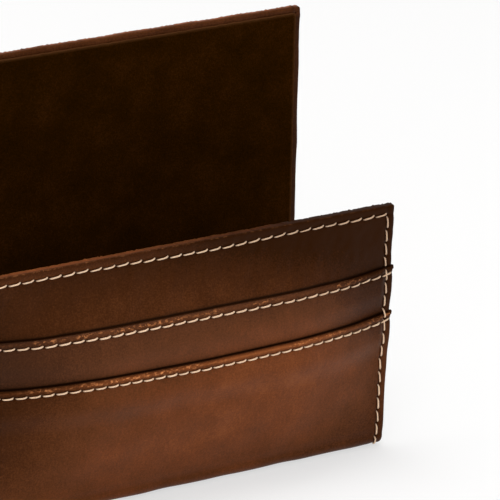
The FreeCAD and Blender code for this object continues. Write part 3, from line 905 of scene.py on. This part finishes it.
class Material:
    """Node material in the making: its tree, its shader and its object coordinates."""

    def __init__(self, name):
        self.data = bpy.data.materials.new(name)
        self.data.use_nodes = True
        self.tree = self.data.node_tree
        self.shader = self.tree.nodes["Principled BSDF"]
        self.place = self.add("TexCoord").outputs["Object"]

    def wire(self, node, inputs):
        """Sets a node's inputs to values, or links them to other nodes' outputs."""
        for key, value in inputs.items():
            if isinstance(value, bpy.types.NodeSocket):
                self.tree.links.new(value, node.inputs[key])
            else:
                node.inputs[key].default_value = value

    def add(self, kind, inputs=(), **settings):
        """One node with its settings and inputs."""
        node = self.tree.nodes.new("ShaderNode" + kind)
        for key, value in settings.items():
            setattr(node, key, value)
        self.wire(node, dict(inputs))
        return node

    def finished(self, inputs):
        """The material, with its shader's inputs wired."""
        self.wire(self.shader, inputs)
        return self.data

    def mark(self, name):
        """Value of a mesh attribute."""
        return self.add("Attribute", attribute_name=name).outputs["Fac"]

    def noise(self, size_mm, detail=3.0, stretch=None, roughness=0.55):
        """Noise whose blotches are about size_mm across, stretched along an axis by a factor."""
        place = self.place
        if stretch:
            place = self.add("Mapping", {"Vector": place, "Scale": stretch}).outputs[0]
        return self.add("TexNoise", {"Vector": place, "Scale": 1 / (size_mm * MM), "Detail": detail,
                                     "Roughness": roughness}).outputs["Fac"]

    def maths(self, operation, first, second=0.0, clamp=False):
        """Output of a maths node."""
        node = self.add("Math", {0: first, 1: second}, operation=operation, use_clamp=clamp)
        return node.outputs[0]

    def plus(self, first, second, clamp=False):
        """Sum of two values."""
        return self.maths("ADD", first, second, clamp)

    def times(self, first, second, clamp=False):
        """Product of two values."""
        return self.maths("MULTIPLY", first, second, clamp)

    def swing(self, field, reach):
        """A field of values round 0.5 as one round 0, times reach."""
        return self.times(self.maths("SUBTRACT", field, 0.5), reach)

    def spread(self, value, low, high, to_low=0.0, to_high=1.0):
        """A value between low and high as one between to_low and to_high."""
        return self.add("MapRange", {"Value": value, "From Min": low, "From Max": high, "To Min": to_low,
                                     "To Max": to_high}).outputs[0]

    def ramp(self, value, *stops):
        """Colour ramp through (place, colour) stops."""
        node = self.add("ValToRGB", {"Fac": value})
        points = node.color_ramp.elements
        points.remove(points[1])
        points[0].position, points[0].color = stops[0][0], linear(stops[0][1])
        for place, colour in stops[1:]:
            points.new(place).color = linear(colour)
        return node.outputs["Color"]

    def tinted(self, share, first, colour):
        """A colour mixed by a share with one given as an sRGB hex value."""
        return self.add("Mix", {0: share, 6: first, 7: linear(colour)}, data_type="RGBA").outputs[2]

    def relief(self, height, distance_mm, strength, under=None):
        """Normal bent by a height, on top of another relief if there is one."""
        inputs = {"Height": height, "Distance": distance_mm * MM, "Strength": strength}
        return self.add("Bump", inputs | ({"Normal": under} if under else {})).outputs[0]


def leather_material(name, worn):
    """Waxed pull-up leather: smooth, dyed through, near black under painted shade, warm where its tone,
    partly painted light, is high.

    The tone mark runs along one scale of browns, on which 0.2 more is twice as light.
    """
    look = Material(name)
    # The tone mark carries the front's painted light.
    tone = look.plus(look.mark("tone"), look.swing(look.noise(22.0, 4.0), 0.12))
    tone = look.plus(tone, look.swing(look.noise(1.1, 3.0, (1.0, 1.0, 0.3)), 0.12))
    grainy = look.times(look.maths("SUBTRACT", 1.05, tone), 0.9)
    tone = look.plus(tone, look.swing(look.noise(0.5, 2.0), grainy))
    colour = look.ramp(tone, (0.16, "280f00"), (0.44, "401f0b"), (0.64, "593017"), (0.76, "6d3a1d"),
                       (0.84, "7d4523"), (0.96, "96562f"))
    colour = look.tinted(look.mark("bloom"), colour, "6b6058")
    specks = look.spread(look.noise(0.8, 3.0, (0.6, 1.0, 1.0), 0.65), 0.51, 0.62)
    colour = look.tinted(look.times(look.mark("wear"), look.times(specks, 0.95), True), colour, worn)
    # Painted shade: near black in holes, along the row grooves, under hems, on fold undersides and along
    # arrises.
    colour = look.tinted(look.times(look.mark("painted_shade"), 0.92, True), colour, "120500")
    pores = look.add("TexVoronoi", {"Vector": look.place, "Scale": 1 / (0.55 * MM)}).outputs["Distance"]
    grain = look.plus(look.times(pores, 0.5), look.noise(0.9, 5.0))
    return look.finished({"Base Color": colour, "Normal": look.relief(grain, 0.06, 0.5),
                          "Roughness": look.spread(grain, 0.4, 1.2, 0.40, 0.56),
                          "Specular IOR Level": 0.15, "Specular Tint": linear("e8a878")})


def thread_material():
    """Waxed linen thread, three plies twisted: cream, matt, darker where it goes into the leather, with
    painted shade between the plies and painted shade that follows the front's painted light.
    """
    look = Material("waxed_linen_thread")
    fibres = look.noise(0.25)
    uv = look.add("SeparateXYZ", {0: look.add("TexCoord").outputs["UV"]}).outputs
    turn = look.plus(look.times(uv[0], 2 * math.pi / THREAD_LAY), look.times(uv[1], 6 * math.pi))
    plies = look.maths("ABSOLUTE", look.maths("SINE", look.times(turn, 0.5)))
    groove_shade = look.maths("SUBTRACT", 1.0, look.maths("POWER", plies, 0.5))
    colour = look.ramp(fibres, (0.25, "e8b58a"), (0.5, "ffd8b1"), (0.75, "ffefd8"))
    # Painted shade in the grooves between the plies.
    colour = look.tinted(look.times(groove_shade, 0.45), colour, "a06c48")
    # Painted shade on the thread, darker where the front's painted light is darker.
    colour = look.tinted(look.mark("painted_thread_shade"), colour, "7a4f30")
    colour = look.tinted(look.mark("sunk"), colour, "3a2314")
    relief = look.relief(fibres, 0.05, 0.5, look.relief(plies, 0.1, 0.5))
    return look.finished({"Base Color": colour, "Normal": relief, "Roughness": 0.5})


def suede_material():
    """Napped suede: very matt, with a nap that leans in small patches and pale fibre ends."""
    look = Material("napped_suede")
    nap = look.noise(0.45, 4.0)
    tone = look.plus(look.times(nap, 0.6), look.times(look.noise(9.0), 0.4))
    colour = look.ramp(tone, (0.3, "180b00"), (0.52, "261200"), (0.72, "371c05"))
    flecks = look.spread(look.noise(0.3, 2.0), 0.62, 0.78)
    colour = look.tinted(look.times(flecks, 0.5), colour, "4d3320")
    colour = look.tinted(look.times(look.mark("edge"), 0.65), colour, "5a3820")
    return look.finished({"Base Color": colour, "Normal": look.relief(nap, 0.2, 0.7),
                          "Roughness": 0.95, "Specular IOR Level": 0.0})


def plain_material(name, stops, size_mm, roughness, bump_mm, metallic=0.0, stretch=None):
    """Fibrous or drawn stock: a noise of one size for colour and relief."""
    look = Material(name)
    fibres = look.noise(size_mm, 4.0, stretch)
    return look.finished({"Base Color": look.ramp(fibres, *stops), "Metallic": metallic,
                          "Normal": look.relief(fibres, bump_mm, 0.7), "Roughness": roughness})


def build_holder():
    """Every piece of the holder, with its material."""
    front_leather = leather_material("waxed_pull_up_leather", "e2925a")
    back_leather = leather_material("waxed_pull_up_leather_back", "b87a50")
    build_cover(front_leather)
    build_pockets(front_leather)
    build_back_cover(back_leather)
    thread = thread_material()

    add_front_row("front_top_stitching", TOP_HOLES, CROWN_TOP, top_wander, lambda x, s: LEATHER + 0 * x,
                  thread, 92)
    add_front_row("upper_pocket_stitching", UPPER_HOLES, UPPER_ROW, upper_wander, upper_rise, thread, 93,
                  UPPER_SLANT)
    add_front_row("lower_pocket_stitching", LOWER_HOLES, LOWER_ROW, lower_wander, lower_rise, thread, 94,
                  LOWER_SLANT)
    add_side_row("left_side_stitching", -1, thread, 97)
    add_side_row("right_side_stitching", 1, thread, 98)
    add_back_row(thread)
    build_linings(suede_material())
    build_pad(plain_material("pressed_wool_felt", [(0.3, "1d1714"), (0.5, "2b2420"), (0.75, "3d342e")],
                             0.5, 0.95, 0.25))
    build_padding(plain_material("open_cell_foam", [(0.3, "b9a98d"), (0.55, "d8cdb8"), (0.8, "e9e1d0")],
                                 0.7, 0.9, 0.4),
                  plain_material("woven_pocket_cloth", [(0.3, "1d140d"), (0.55, "2a1d14"), (0.8, "3a2a1e")],
                                 0.3, 0.85, 0.1))
    board = plain_material("raw_fibreboard", [(0.3, "6f5639"), (0.5, "8a6f4e"), (0.75, "a38a66")],
                           1.2, 0.85, 0.1)
    steel = plain_material("drawn_steel_wire", [(0.3, "8f9094"), (0.6, "a5a6aa"), (0.9, "b8b9bd")],
                           0.4, 0.35, 0.02, 1.0, (1.0, 0.15, 1.0))
    for name, finish in (("front_board", board), ("back_board", board), ("base_board", board),
                         ("front_board_brads", steel), ("back_board_brads", steel)):
        for material_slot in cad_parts[name].material_slots:
            material_slot.material = finish


# Camera, floor and light.

AZIMUTH = math.radians(-31.128)
ELEVATION = math.radians(20.637)
ROLL = math.radians(1.251)
LENS = 322.5
CAMERA_PLACE = (-0.63362, -1.10697, 0.55115)
FLOOR_REACH = 4.0
# Share of the floor's picture that is plain white.
FLOOR_GLOW = 0.6
LAMP_SIZE = 1.2
LAMP_AIM = (0, 0, 0.05)


def add_camera():
    """Long lens in front, to the left and above, at the photograph's angle and distance."""
    data = bpy.data.cameras.new("camera")
    data.lens, data.sensor_width = LENS, 36.0
    data.clip_start, data.clip_end = 0.1, 20.0
    camera = add_object("camera", data)
    camera.matrix_world = (Matrix.Translation(CAMERA_PLACE) @ Matrix.Rotation(AZIMUTH, 4, "Z")
                           @ Matrix.Rotation(math.pi / 2 - ELEVATION, 4, "X")
                           @ Matrix.Rotation(ROLL, 4, "Z"))
    bpy.context.scene.camera = camera


def add_floor():
    """Plain pale floor. Seen directly or in a gloss it is paler than its shadows alone would leave it."""
    mesh = bpy.data.meshes.new("floor")
    low, high = -FLOOR_REACH, FLOOR_REACH
    mesh.from_pydata([(low, low, 0), (high, low, 0), (high, high, 0), (low, high, 0)], [], [(0, 1, 2, 3)])
    look = Material("pale_floor")
    mesh.materials.append(look.finished({"Base Color": linear("f4f3f2"), "Roughness": 0.9,
                                         "Specular IOR Level": 0.0}))
    ray = look.add("LightPath").outputs
    seen = look.plus(ray["Is Camera Ray"], ray["Is Glossy Ray"])
    seen = look.plus(seen, ray["Is Transmission Ray"], True)
    glow = look.add("Emission", {"Color": linear("ffffff")})
    mix = look.add("MixShader", {0: look.times(seen, FLOOR_GLOW), 1: look.shader.outputs[0],
                                 2: glow.outputs[0]})
    look.wire(look.tree.nodes["Material Output"], {"Surface": mix.outputs[0]})
    floor = add_object("floor", mesh)


def add_light(name, place, power):
    """Square soft lamp at a place, turned to the holder, in metres and watts."""
    data = bpy.data.lights.new(name, "AREA")
    data.shape, data.size, data.energy = "SQUARE", LAMP_SIZE, power
    way = Vector(place) - Vector(LAMP_AIM)
    turn = way.to_track_quat("Z", "Y").to_matrix().to_4x4()
    add_object(name, data).matrix_world = Matrix.Translation(place) @ turn


def add_world(strength):
    """Even white light from all round."""
    world = bpy.data.worlds.new("studio")
    world.use_nodes = True
    background = world.node_tree.nodes["Background"]
    background.inputs["Color"].default_value = (1.0, 1.0, 1.0, 1.0)
    background.inputs["Strength"].default_value = strength
    bpy.context.scene.world = world


build_holder()
add_floor()
add_camera()
add_light("key_lamp", (-1.1, -1.7, 1.1), 15)
add_light("fill_lamp", (1.5, -1.2, 0.7), 3)
add_light("top_lamp", (-0.2, 0.2, 1.9), 25)
add_world(0.4)
bpy.context.scene.view_settings.view_transform = "Standard"
